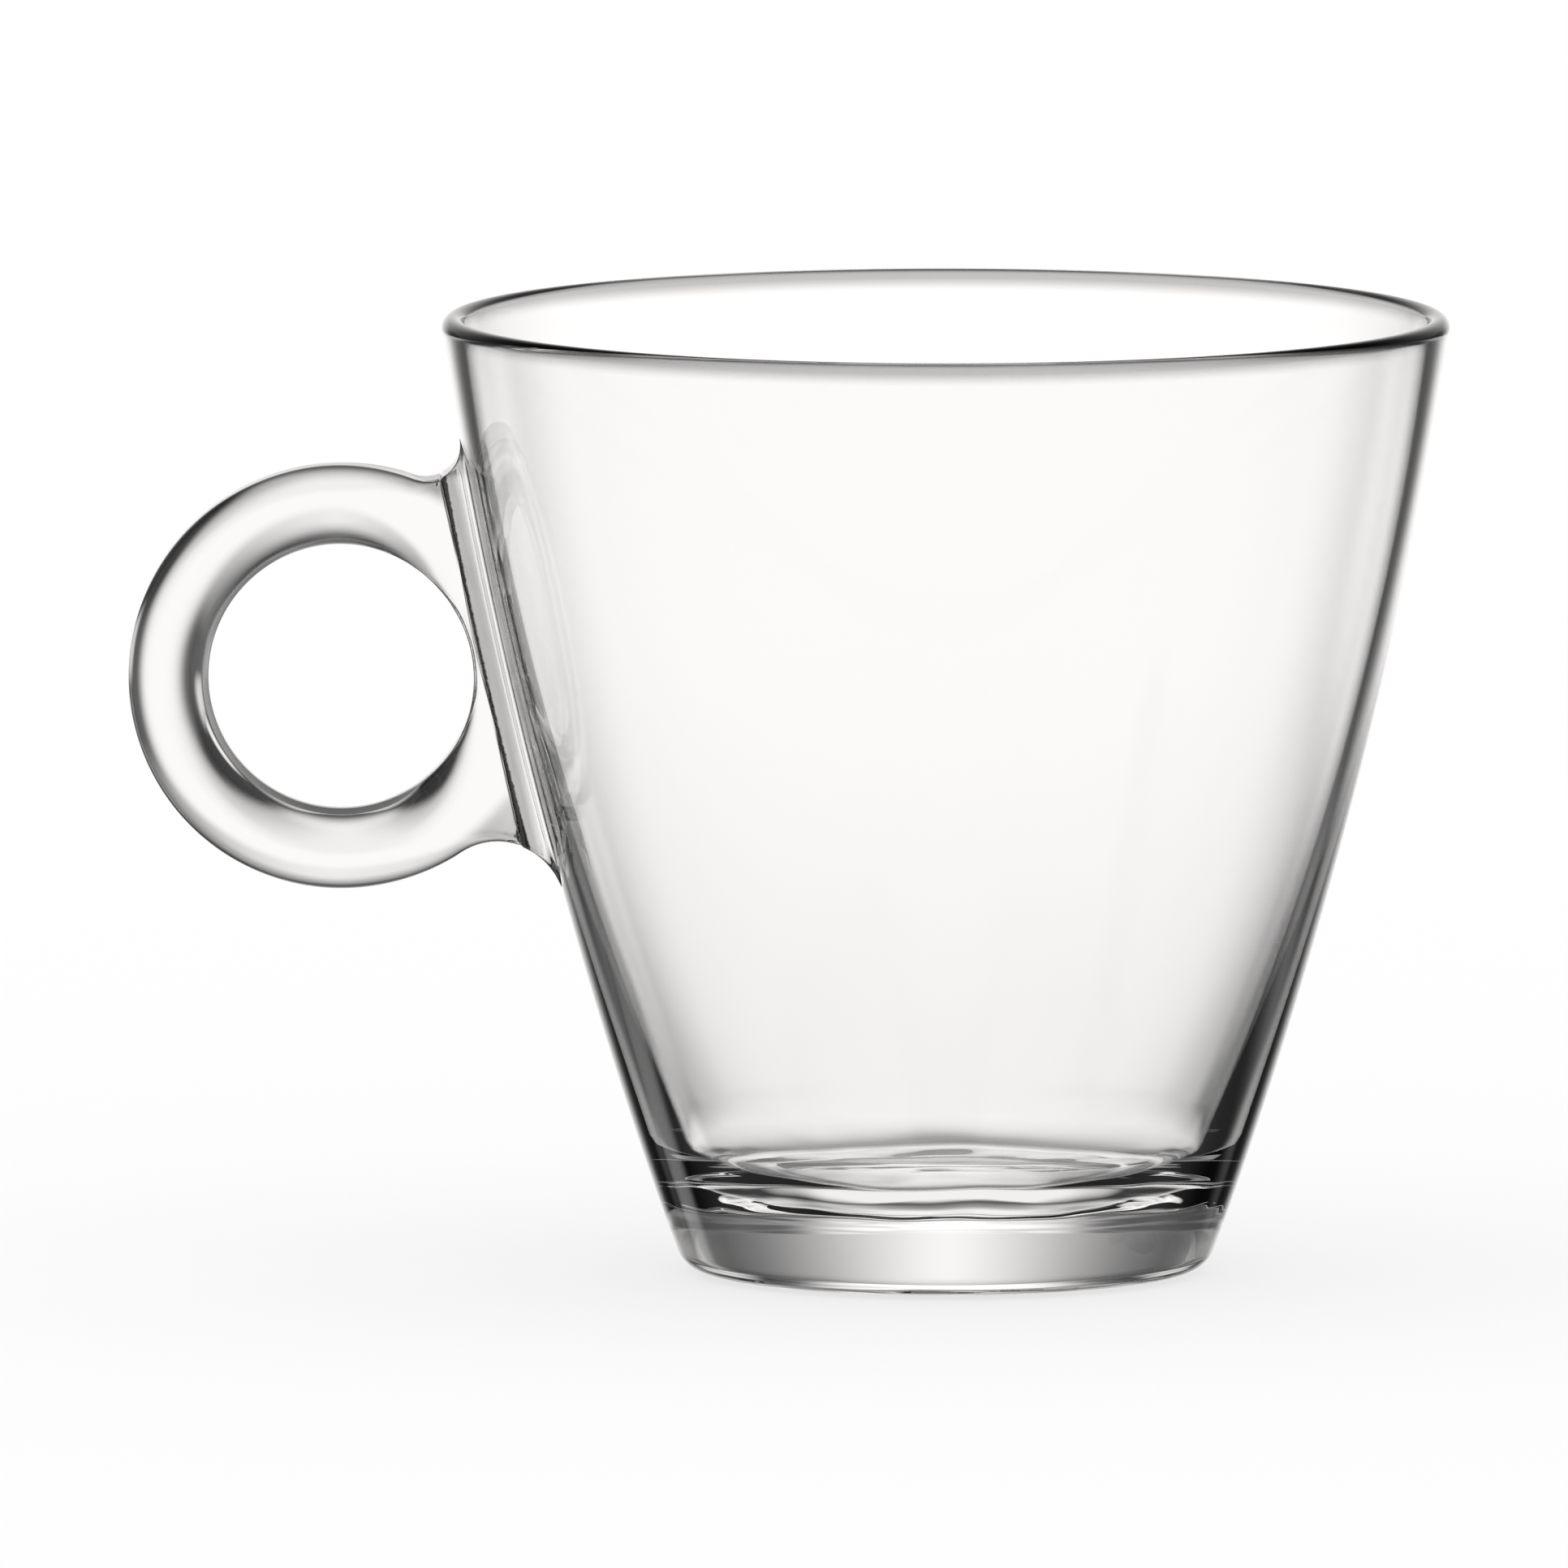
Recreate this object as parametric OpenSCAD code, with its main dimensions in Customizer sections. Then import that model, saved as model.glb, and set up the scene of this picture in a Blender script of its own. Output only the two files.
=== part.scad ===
// Espresso glass: a small clear cup of pressed glass with a ring handle fused to its wall.
// Millimetres, +Z up. The origin is the centre of the foot on the table, and the handle points to -X.

/* [Cup] */
// Outer diameter across the lip
rim_diameter = 64.2; // [56:0.2:72]
// From the table to the top of the lip
cup_height = 61; // [54:0.5:68]
// Outer diameter where the wall would meet the table without its rounding
foot_diameter = 33.4; // [30:0.2:40]
// How far the wall bellies out from a straight cone
wall_bulge = 1.5; // [0.8:0.1:2]
// Thickness of the glass at its rounded lip
lip_thickness = 1.5; // [1.4:0.05:1.8]
// Angle, in degrees, by which the wall begins to thin below the lip
lip_taper = 2.3; // [1.8:0.1:2.6]
// Thickness of the wall where it reaches the floor
low_wall_thickness = 3; // [2.4:0.1:3.4]
// Thickness of the glass between the table and the floor of the cup
floor_height = 5.4; // [4.5:0.1:7]
// Radius of the corner between the floor and the wall
floor_corner = 6; // [3:0.25:7]
// Radius of the outer edge of the foot
foot_rounding = 2; // [1:0.25:3]
// Radius of the shallow hollow under the base
hollow_radius = 11.5; // [9:0.25:12.5]
// Depth of the hollow at its middle
hollow_depth = 1.2; // [0.6:0.1:2]

/* [Handle] */
// Diameter of the hole for the finger
finger_hole = 16.9; // [16:0.1:20]
// Thickness of the ring's rod, which narrows towards the finger
rod_diameter = 5.1; // [5:0.1:6]
// Radius of the rod's two outer edges
rod_edge = 1.8; // [1.2:0.1:2]
// Width of the rod's narrow side, towards the finger hole
rod_nose = 2.1; // [1.4:0.1:2.6]
// Height of the middle of the handle's seat on the wall
seat_height = 40.2; // [38:0.1:42]
// Least glass between the finger hole and the seam
root_web = 0.5; // [0.4:0.05:1]
// Width of the flat-sided root
root_width = 4.9; // [3.6:0.1:4.9]
// How far the flat sides of the root stay back from the finger hole
root_setback = 0.15; // [0.1:0.05:0.25]
// Radius of the hollow curve from the ring up to the wall
upper_fillet = 2.2; // [1.6:0.1:3]
// Radius of the hollow curve from the ring down to the wall
lower_fillet = 4.2; // [3:0.1:5]

/* [Weld] */
// Thickness of the weld at the middle of the seat
weld_thickness = 1.45; // [1:0.05:2]
// Width of the weld, a little more than the root
weld_width = 5.4; // [5:0.1:6.4]
// Thickness that is left at the upper and lower end of the weld
weld_end = 0.15; // [0.1:0.05:0.5]

/* [Show] */
// The piece to draw

/* [Hidden] */
$fn = 96;
// The wall's arcs are long and flat, so their circles need finer steps.
arc_steps = 720;
// Steps of the thin weld's face on the wall, around the cup and up the wall
turn_steps = 256;
rise_steps = 48;
// How far a cutting shape runs past what it cuts
past = 2;
// How far a hollow curve bites into the ring, so that the two meet in a clean edge
hair = 0.02;

// Outer wall: one arc through the foot and the lip, given in radius and height
wall_foot = [foot_diameter / 2, 0];
wall_rim = [rim_diameter / 2, cup_height - lip_thickness / 2];
wall_chord = norm(wall_rim - wall_foot);
wall_radius = (pow(wall_chord / 2, 2) + pow(wall_bulge, 2)) / (2 * wall_bulge);
chord_way = (wall_rim - wall_foot) / wall_chord;
chord_outward = [chord_way.y, -chord_way.x];
wall_centre = (wall_foot + wall_rim) / 2 - (wall_radius - wall_bulge) * chord_outward;

// Lip: a half circle that is tangent to the outer wall and to the top plane
lip_radius = lip_thickness / 2;
lip_rise = cup_height - lip_radius - wall_centre.y;
lip_centre = [wall_centre.x + sqrt(pow(wall_radius - lip_radius, 2) - pow(lip_rise, 2)), cup_height - lip_radius];
lip_outward = (lip_centre - wall_centre) / norm(lip_centre - wall_centre);
lip_outer = lip_centre + lip_radius * lip_outward;
lip_top = lip_centre + lip_radius * [-lip_outward.y, lip_outward.x];

// Inner wall: an arc that leaves the lip at its taper and ends with thicker glass at the floor
inner_outward = [lip_outward.x * cos(lip_taper) - lip_outward.y * sin(lip_taper),
                 lip_outward.x * sin(lip_taper) + lip_outward.y * cos(lip_taper)];
lip_inner = lip_centre - lip_radius * inner_outward;
floor_edge = [arc_reach(wall_centre, wall_radius, floor_height) - low_wall_thickness, floor_height];
lip_to_floor = floor_edge - lip_inner;
inner_radius = -(lip_to_floor * lip_to_floor) / (2 * (lip_to_floor * inner_outward));
inner_centre = lip_inner - inner_radius * inner_outward;

// Roundings between an arc and a level line, each given by the centre of its circle and where it meets the arc
corner_centre = [arc_reach(inner_centre, inner_radius - floor_corner, floor_height + floor_corner),
                 floor_height + floor_corner];
corner_on_wall = on_arc(inner_centre, inner_radius, corner_centre);
foot_centre = [arc_reach(wall_centre, wall_radius - foot_rounding, foot_rounding), foot_rounding];
foot_on_wall = on_arc(wall_centre, wall_radius, foot_centre);

// Hollow under the base: part of a sphere
hollow_sphere = (pow(hollow_radius, 2) + pow(hollow_depth, 2)) / (2 * hollow_depth);

// Handle: n runs from the centre of the ring towards the wall, s runs up along the wall
hole_radius = finger_hole / 2;
rod_radius = rod_diameter / 2;
ring_radius = hole_radius + rod_radius;
ring_outer = hole_radius + rod_diameter;
seam_n = hole_radius + root_web;
wall_n = seam_n + weld_thickness;
seat = [arc_reach(wall_centre, wall_radius, seat_height), seat_height];
seat_outward = (seat - wall_centre) / wall_radius;
handle_tilt = asin(-seat_outward.y);
ring_centre = seat + wall_n * seat_outward;
upper_centre = fillet_centre(upper_fillet, 1);
lower_centre = fillet_centre(lower_fillet, -1);

// Radius that an arc about centre reaches at a height
function arc_reach(centre, radius, at) = centre.x + sqrt(pow(radius, 2) - pow(at - centre.y, 2));

// The point of an arc in line with its centre and another point
function on_arc(centre, radius, through) = centre + radius * (through - centre) / norm(through - centre);

// Centre of a hollow curve that bites a hair into the ring and stops weld_end short of the wall
function fillet_centre(fillet, side) =
    let (from_ring = ring_outer + fillet - hair)
    let (from_wall = wall_radius + weld_end + fillet)
    let (between = wall_n + wall_radius)
    let (n = (pow(between, 2) + pow(from_ring, 2) - pow(from_wall, 2)) / (2 * between))
    [n, side * sqrt(pow(from_ring, 2) - pow(n, 2))];

// The point at a distance from the centre of a hollow curve, straight towards the wall of the cup
function towards_wall(centre, distance) =
    let (wall_middle = [wall_n + wall_radius, 0])
    centre + distance * (wall_middle - centre) / norm(wall_middle - centre);

// What a rounding takes off a corner, between the two points where its circle begins and ends
module corner_waste(centre, first, second) {
    radius = norm(first - centre);
    reach = 3; // radii, past anything that is cut
    difference() {
        polygon([centre, centre + reach * (first - centre), centre + reach * (first + second - 2 * centre),
                 centre + reach * (second - centre)]);
        translate(centre) circle(r = radius);
    }
}

// Outside of the cup, with a square lip that is a little too tall
module outer_profile() {
    difference() {
        intersection() {
            translate(wall_centre) circle(r = wall_radius, $fn = arc_steps);
            square([rim_diameter, cup_height + lip_radius]);
        }
        corner_waste(foot_centre, [foot_centre.x, 0], foot_on_wall);
    }
}

// The same wall in short straight steps, to cut the thin weld closely
module stepped_wall() {
    rise = lip_outer.y - foot_on_wall.y;
    heights = [for (i = [0:rise_steps]) foot_on_wall.y + rise * i / rise_steps];
    polygon(concat([[0, lip_outer.y], [0, foot_on_wall.y]],
                   [for (at = heights) [arc_reach(wall_centre, wall_radius, at), at]]));
}

// Inside of the cup, open at the top
module inner_profile() {
    difference() {
        intersection() {
            translate(inner_centre) circle(r = inner_radius, $fn = arc_steps);
            translate([0, floor_height]) square([rim_diameter, cup_height]);
        }
        corner_waste(corner_centre, [corner_centre.x, floor_height], corner_on_wall);
    }
}

module bowl() {
    color([0.86, 0.91, 0.92, 0.5])
    rotate_extrude()
    difference() {
        outer_profile();
        inner_profile();
        corner_waste(lip_centre, lip_outer, lip_top);
        corner_waste(lip_centre, lip_inner, lip_top);
        translate([0, hollow_depth - hollow_sphere]) circle(r = hollow_sphere, $fn = arc_steps);
    }
}

// Outline of the weld on the wall: a strip with round ends
module weld_outline() {
    half_width = weld_width / 2;
    top = towards_wall(upper_centre, upper_fillet + weld_end).y;
    bottom = towards_wall(lower_centre, lower_fillet + weld_end).y;
    difference() {
        translate([bottom, -half_width]) square([top - bottom, weld_width]);
        for (side = [-half_width, half_width]) {
            corner_waste([top - half_width, 0], [top, 0], [top - half_width, side]);
            corner_waste([bottom + half_width, 0], [bottom, 0], [bottom + half_width, side]);
        }
    }
}

// Puts a shape drawn in n and s at the ring's centre, in the plane of the handle
module in_handle_plane() {
    translate([-ring_centre.x, 0, ring_centre.y]) rotate([90, 0, 0]) rotate(handle_tilt) children();
}

// Section of the rod: egg-shaped, with its blunt side outside and its narrow side towards the finger
module rod_profile() {
    crown = rod_radius - rod_edge;
    slope_length = crown + rod_radius;
    slope_drop = rod_radius - rod_nose / 2;
    slope_radius = (slope_length * slope_length + slope_drop * slope_drop) / (2 * slope_drop);
    difference() {
        intersection() {
            square(rod_diameter, center = true);
            translate([crown, rod_radius - slope_radius]) circle(r = slope_radius);
            translate([crown, slope_radius - rod_radius]) circle(r = slope_radius);
        }
        for (side = [-1, 1])
            corner_waste([crown, side * crown], [rod_radius, side * crown], [crown, side * rod_radius]);
    }
}

// Everything between the ring and the wall, with its two hollow curves
module root_profile() {
    difference() {
        polygon([[0, 0], upper_centre, towards_wall(upper_centre, upper_fillet + weld_end + past),
                 towards_wall(lower_centre, lower_fillet + weld_end + past), lower_centre]);
        translate(upper_centre) circle(r = upper_fillet);
        translate(lower_centre) circle(r = lower_fillet);
    }
}

module handle_ring() {
    color([0.88, 0.92, 0.94, 0.5])
    in_handle_plane()
    difference() {
        union() {
            rotate_extrude() translate([ring_radius, 0]) rod_profile();
            linear_extrude(root_width, center = true) difference() {
                root_profile();
                circle(r = hole_radius + root_setback);
            }
        }
        translate([seam_n, -2 * ring_outer, -rod_diameter]) cube([ring_outer, 4 * ring_outer, 2 * rod_diameter]);
    }
}

module handle_weld() {
    color([0.78, 0.8, 0.8, 0.7])
    difference() {
        in_handle_plane() intersection() {
            linear_extrude(weld_width, center = true) intersection() {
                root_profile();
                translate([seam_n, -2 * ring_outer]) square([ring_outer, 4 * ring_outer]);
            }
            rotate([90, 0, 90]) linear_extrude(wall_n + past) weld_outline();
        }
        rotate_extrude($fn = turn_steps) stepped_wall();
    }
}

bowl();
handle_ring();
handle_weld();
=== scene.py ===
# %% [markdown]
# # An espresso glass
# This lesson dresses a small clear glass cup with a ring handle. The cup is pressed from one gob of
# glass, the ring from a second one, and a pad of softened glass welds the two together. Clear glass has
# almost no colour of its own: what shows is the surroundings, bent by the shape. So most of the work is
# an exact shape and a calm, bright surrounding with a few dark places, which draw the edges.

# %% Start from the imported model
import math
import bpy
import numpy as np
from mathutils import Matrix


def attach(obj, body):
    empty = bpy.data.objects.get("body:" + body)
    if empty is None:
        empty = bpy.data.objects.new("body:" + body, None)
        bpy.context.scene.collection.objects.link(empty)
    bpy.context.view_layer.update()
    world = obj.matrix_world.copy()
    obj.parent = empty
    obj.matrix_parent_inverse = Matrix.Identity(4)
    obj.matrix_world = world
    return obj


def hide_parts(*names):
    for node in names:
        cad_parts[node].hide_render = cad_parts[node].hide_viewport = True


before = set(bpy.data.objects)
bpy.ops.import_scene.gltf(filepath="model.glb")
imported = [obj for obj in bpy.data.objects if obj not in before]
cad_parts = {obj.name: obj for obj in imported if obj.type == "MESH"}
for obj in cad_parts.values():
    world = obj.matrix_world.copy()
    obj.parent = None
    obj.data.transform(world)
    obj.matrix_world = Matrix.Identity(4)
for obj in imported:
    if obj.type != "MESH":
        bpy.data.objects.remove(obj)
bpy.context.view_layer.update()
MM = 0.001
CUBIC_MM = MM**3

# %% [markdown]
# ## The sizes of the cup
# The outside of the cup is one long arc from foot to lip, which bellies out a little from a straight
# cone. The inside is a second arc. It leaves the lip at a small angle and ends further from the outside
# at the floor, so the wall grows thicker towards the base. The wall could be drawn by hand, point by
# point, but tangent circles give a smooth wall from a few sizes, and every size can be changed alone.
# All sizes are in millimetres, and places on the outline are given as distance from the axis and height.

# %% Sizes that drive the cup
RIM_DIAMETER = 64.2
CUP_HEIGHT = 61.0
FOOT_DIAMETER = 33.4
WALL_BULGE = 1.5
LIP_THICKNESS = 1.5
LIP_TAPER = math.radians(2.3)
LOW_WALL_THICKNESS = 3.0
FLOOR_HEIGHT = 5.4
FLOOR_CORNER = 6.0
FOOT_ROUNDING = 2.0
HOLLOW_RADIUS = 11.5
HOLLOW_DEPTH = 1.2
print("cup:", RIM_DIAMETER, "mm across the lip and", CUP_HEIGHT, "mm tall")


# %% Arcs of the wall and the lip
def reach(centre, radius, height):
    """Distance from the axis of an arc about centre, at a height."""
    return centre[0] + np.sqrt(radius**2 - (height - centre[1]) ** 2)


wall_foot = np.array([FOOT_DIAMETER / 2, 0.0])
wall_rim = np.array([RIM_DIAMETER / 2, CUP_HEIGHT - LIP_THICKNESS / 2])
wall_chord = np.linalg.norm(wall_rim - wall_foot)
wall_radius = ((wall_chord / 2) ** 2 + WALL_BULGE**2) / (2 * WALL_BULGE)
chord_way = (wall_rim - wall_foot) / wall_chord
chord_outward = np.array([chord_way[1], -chord_way[0]])
wall_centre = (wall_foot + wall_rim) / 2 - (wall_radius - WALL_BULGE) * chord_outward

lip_radius = LIP_THICKNESS / 2
lip_height = CUP_HEIGHT - lip_radius
lip_centre = np.array([reach(wall_centre, wall_radius - lip_radius, lip_height), lip_height])
lip_outward = (lip_centre - wall_centre) / np.linalg.norm(lip_centre - wall_centre)

taper_turn = np.array([
    [math.cos(LIP_TAPER), -math.sin(LIP_TAPER)],
    [math.sin(LIP_TAPER), math.cos(LIP_TAPER)],
])
inner_outward = taper_turn @ lip_outward
lip_inner = lip_centre - lip_radius * inner_outward
low_inside = reach(wall_centre, wall_radius, FLOOR_HEIGHT) - LOW_WALL_THICKNESS
lip_to_floor = np.array([low_inside, FLOOR_HEIGHT]) - lip_inner
inner_radius = -(lip_to_floor @ lip_to_floor) / (2 * (lip_to_floor @ inner_outward))
inner_centre = lip_inner - inner_radius * inner_outward

corner_height = FLOOR_HEIGHT + FLOOR_CORNER
corner_reach = reach(inner_centre, inner_radius - FLOOR_CORNER, corner_height)
corner_centre = np.array([corner_reach, corner_height])
foot_reach = reach(wall_centre, wall_radius - FOOT_ROUNDING, FOOT_ROUNDING)
foot_centre = np.array([foot_reach, FOOT_ROUNDING])
print("wall arc", round(wall_radius, 1), "mm, inner arc", round(inner_radius, 1), "mm")

# %% [markdown]
# ## The outline of the cup
# Half of the cup's section is a chain of arcs and lines: the hollow under the base, the flat ring of the
# foot, the rounded foot edge, the wall, the lip, the inside and the floor. It could also be a curve
# object, but plain points can sit closest where the outline turns most. That matters here, because a
# curved glass surface shows every flat facet as a broken reflection.

# %% Points along the outline
OUTLINE_POINTS = {
    "hollow": 16,
    "foot ring": 8,
    "foot edge": 18,
    "wall": 90,
    "lip": 34,
    "corner": 28,
    "floor": 18,
}
QUARTER = math.pi / 2


def arc_points(centre, radius, start, end, count):
    """Points on a circle from one angle to another, both ends included."""
    turns = np.linspace(start, end, count)
    return centre + radius * np.stack([np.cos(turns), np.sin(turns)], axis=1)


def angle_from(centre, point):
    """Angle of the line from centre to point."""
    return math.atan2(point[1] - centre[1], point[0] - centre[0])


def level_points(start, end, height, count):
    """Points on a level line, without its first point."""
    radii = np.linspace(start, end, count + 1)[1:]
    return np.stack([radii, np.full(count, height)], axis=1)


hollow_sphere = (HOLLOW_RADIUS**2 + HOLLOW_DEPTH**2) / (2 * HOLLOW_DEPTH)
hollow_centre = np.array([0.0, HOLLOW_DEPTH - hollow_sphere])
hollow_edge = angle_from(hollow_centre, (HOLLOW_RADIUS, 0.0))
foot_turn = angle_from(wall_centre, foot_centre)
lip_turn = angle_from(wall_centre, lip_centre)
inner_turn = angle_from(inner_centre, lip_inner)
corner_turn = angle_from(inner_centre, corner_centre)

outline = np.concatenate([
    arc_points(hollow_centre, hollow_sphere, QUARTER, hollow_edge, OUTLINE_POINTS["hollow"]),
    level_points(HOLLOW_RADIUS, foot_centre[0], 0.0, OUTLINE_POINTS["foot ring"]),
    arc_points(foot_centre, FOOT_ROUNDING, -QUARTER, foot_turn, OUTLINE_POINTS["foot edge"])[1:],
    arc_points(wall_centre, wall_radius, foot_turn, lip_turn, OUTLINE_POINTS["wall"])[1:],
    arc_points(lip_centre, lip_radius, lip_turn, inner_turn + math.pi, OUTLINE_POINTS["lip"])[1:],
    arc_points(inner_centre, inner_radius, inner_turn, corner_turn, OUTLINE_POINTS["wall"])[1:],
    arc_points(corner_centre, FLOOR_CORNER, corner_turn, -QUARTER, OUTLINE_POINTS["corner"])[1:],
    level_points(corner_centre[0], 0.0, FLOOR_HEIGHT, OUTLINE_POINTS["floor"]),
])
print("outline points:", len(outline))

# %% [markdown]
# ## Node maths
# The turned cup, the finishes and the surroundings are all made of nodes that add, multiply and step.
# Each node could be made and linked by hand, in four or five lines. A small class that stands for one
# output of a node lets a line of Python read as the sum that it is.


# %% A small wrapper for node maths
class Signal:
    """One output of a node, so that nodes can be written as sums."""

    def __init__(self, tree, socket):
        self.tree = tree
        self.socket = socket

    def node(self, kind, settings, *inputs):
        """Adds a node of any kind, with its settings first and then its inputs in order."""
        made = self.tree.nodes.new(kind)
        for name, value in settings.items():
            setattr(made, name, value)
        sockets = [socket for socket in made.inputs if socket.enabled]
        for socket, value in zip(sockets, inputs):
            if isinstance(value, Signal):
                self.tree.links.new(value.socket, socket)
            elif value is not None:
                socket.default_value = value
        outputs = [socket for socket in made.outputs if socket.enabled]
        return Signal(self.tree, outputs[0])

    def math(self, operation, *inputs):
        """Adds a node of plain maths."""
        return self.node("ShaderNodeMath", {"operation": operation}, *inputs)

    def soft_step(self, start, end, low, high):
        """Goes softly from low to high while this signal goes from start to end."""
        soft = {"interpolation_type": "SMOOTHSTEP"}
        return self.node("ShaderNodeMapRange", soft, self, start, end, low, high)

    def __add__(self, other):
        return self.math("ADD", self, other)

    __radd__ = __add__

    def __mul__(self, other):
        return self.math("MULTIPLY", self, other)

    __rmul__ = __mul__

    def __sub__(self, other):
        return self.math("SUBTRACT", self, other)

    def __rsub__(self, other):
        return self.math("SUBTRACT", other, self)

    def __truediv__(self, other):
        return self.math("DIVIDE", self, other)


def place_parts(tree, kind):
    """The X, Y and Z of a kind of texture coordinate, as signals."""
    place = tree.nodes.new("ShaderNodeTexCoord")
    parts = tree.nodes.new("ShaderNodeSeparateXYZ")
    tree.links.new(place.outputs[kind], parts.inputs[0])
    return [Signal(tree, parts.outputs[name]) for name in "XYZ"]


print("signals can be added, multiplied, subtracted, divided and stepped")

# %% [markdown]
# ## The glass
# The real glass is most likely soda-lime glass, polished in a flame, so it is smooth and nearly without
# colour. A glass shader with absorption inside would be closest to nature, but plain Principled glass
# keeps its look when the model is used elsewhere. Each face dims the light a little instead: the thick
# rod of the ring more than the thin wall.

# %% The glass of the three pieces
GLASS_IOR = 1.5
THIN_TONE = 0.98
THICK_TONE = 0.905


def glass_material(name, tone):
    """A new material with its Principled shader set to clear glass, dimmed to the given tone."""
    material = bpy.data.materials.new(name)
    material.use_nodes = True
    shader = material.node_tree.nodes["Principled BSDF"]
    shader.inputs["Base Color"].default_value = (tone, tone, tone, 1.0)
    shader.inputs["Roughness"].default_value = 0.0
    shader.inputs["IOR"].default_value = GLASS_IOR
    shader.inputs["Transmission Weight"].default_value = 1.0
    return material


clear_glass = glass_material("clear_glass", THIN_TONE)
ring_glass = glass_material("ring_glass", THICK_TONE)
weld_glass = glass_material("weld_glass", THIN_TONE)
print("materials:", clear_glass.name, ring_glass.name, weld_glass.name)

# %% [markdown]
# ## Turning the outline into the cup
# The cup is pressed in a round mould, so it is a shape turned about its axis. That is a rule, and a
# Geometry Nodes tree follows it: a grid gets one row for each point of the outline and one column for
# each step around, and every grid point moves to its outline point, turned by its column's angle. A
# Screw modifier could do this too, but the tree also adds the faint unevenness that the plunger leaves
# in the floor of the cup. It shows as a gentle mottling in the base.

# %% The tree that turns an outline
STEPS_AROUND = 288
RIPPLE = 0.6 * MM
RIPPLE_FINENESS = 140.0
RIPPLE_DETAIL = 1.0
RIPPLE_ROUGHNESS = 0.4
RIPPLE_REACH = 3.0
NOISE_MIDDLE = 0.5
MERGE_DISTANCE = 1e-6
# Half a step keeps a rounding error from moving a point to the next column.
HALF_STEP = 0.5


def turning_tree():
    """Geometry Nodes that turn a chain of points about the Z axis."""
    tree = bpy.data.node_groups.new("Turn about the axis", "GeometryNodeTree")
    tree.interface.new_socket("Outline", in_out="INPUT", socket_type="NodeSocketGeometry")
    tree.interface.new_socket("Steps around", in_out="INPUT", socket_type="NodeSocketInt")
    tree.interface.new_socket("Ripple", in_out="INPUT", socket_type="NodeSocketFloat")
    tree.interface.new_socket("Glass", in_out="INPUT", socket_type="NodeSocketMaterial")
    tree.interface.new_socket("Cup", in_out="OUTPUT", socket_type="NodeSocketGeometry")
    given = tree.nodes.new("NodeGroupInput")
    chain = Signal(tree, given.outputs["Outline"])
    steps = Signal(tree, given.outputs["Steps around"])
    ripple = Signal(tree, given.outputs["Ripple"])
    glass = Signal(tree, given.outputs["Glass"])

    rows = chain.node("GeometryNodeAttributeDomainSize", {"component": "MESH"}, chain)
    grid = chain.node("GeometryNodeMeshGrid", {}, 1.0, 1.0, steps + 1, rows)
    index = chain.node("GeometryNodeInputIndex", {})
    column = chain.math("FLOOR", (index + HALF_STEP) / rows)
    row = index - column * rows
    place = chain.node("GeometryNodeInputPosition", {})
    vectors = {"data_type": "FLOAT_VECTOR"}
    sampled = chain.node("GeometryNodeSampleIndex", vectors, chain, place, row)
    parts = tree.nodes.new("ShaderNodeSeparateXYZ")
    tree.links.new(sampled.socket, parts.inputs[0])
    radius = Signal(tree, parts.outputs["X"])
    height = Signal(tree, parts.outputs["Z"])
    turn = column * (2 * math.pi) / steps
    x = radius * chain.math("COSINE", turn)
    y = radius * chain.math("SINE", turn)

    numbers = {"data_type": "FLOAT"}
    marked = chain.node("GeometryNodeInputNamedAttribute", numbers, "ripple share")
    share = chain.node("GeometryNodeSampleIndex", numbers, chain, marked, row)
    level = chain.node("ShaderNodeCombineXYZ", {}, x, y, 0.0)
    noise = (RIPPLE_FINENESS, RIPPLE_DETAIL, RIPPLE_ROUGHNESS)
    uneven = chain.node("ShaderNodeTexNoise", {}, level, *noise)
    lifted = height + share * ripple * (uneven - NOISE_MIDDLE)
    turned = chain.node("ShaderNodeCombineXYZ", {}, x, y, lifted)
    placed = chain.node("GeometryNodeSetPosition", {}, grid, True, turned)
    closed = chain.node("GeometryNodeMergeByDistance", {}, placed, True, MERGE_DISTANCE)
    smooth = chain.node("GeometryNodeSetShadeSmooth", {}, closed, True, True)
    real = chain.node("GeometryNodeRealizeInstances", {}, smooth)
    dressed = chain.node("GeometryNodeSetMaterial", {}, real, True, glass)
    result = tree.nodes.new("NodeGroupOutput")
    tree.links.new(dressed.socket, result.inputs["Cup"])
    return tree


def input_name(tree, name):
    """The identifier by which a modifier knows an input of its tree."""
    return next(item.identifier for item in tree.interface.items_tree if item.name == name)


turning = turning_tree()
print("tree:", turning.name, "with", len(turning.nodes), "nodes")


# %% Make the cup
def plain_mesh(points, edges, faces, name):
    """A new object from points in metres."""
    mesh = bpy.data.meshes.new(name)
    mesh.from_pydata([tuple(point) for point in points], edges, faces)
    mesh.update()
    piece = bpy.data.objects.new(name, mesh)
    bpy.context.scene.collection.objects.link(piece)
    return piece


def face_outwards(mesh):
    """Turns all faces round if the mesh is inside out, and gives its volume."""
    places = np.empty(len(mesh.vertices) * 3)
    mesh.vertices.foreach_get("co", places)
    places = places.reshape(-1, 3)
    mesh.calc_loop_triangles()
    threes = np.empty(len(mesh.loop_triangles) * 3, dtype=np.int64)
    mesh.loop_triangles.foreach_get("vertices", threes)
    first, second, third = (places[threes[k::3]] for k in range(3))
    # A triangle and the origin span a sixth of the box of their three edges.
    volume = np.einsum("ij,ij->i", first, np.cross(second, third)).sum() / 6
    if volume < 0:
        mesh.flip_normals()
    return abs(volume)


chain_points = np.stack([outline[:, 0], np.zeros(len(outline)), outline[:, 1]], axis=1) * MM
chain_edges = [(k, k + 1) for k in range(len(outline) - 1)]
cup_chain = plain_mesh(chain_points, chain_edges, [], "cup_outline")
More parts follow.
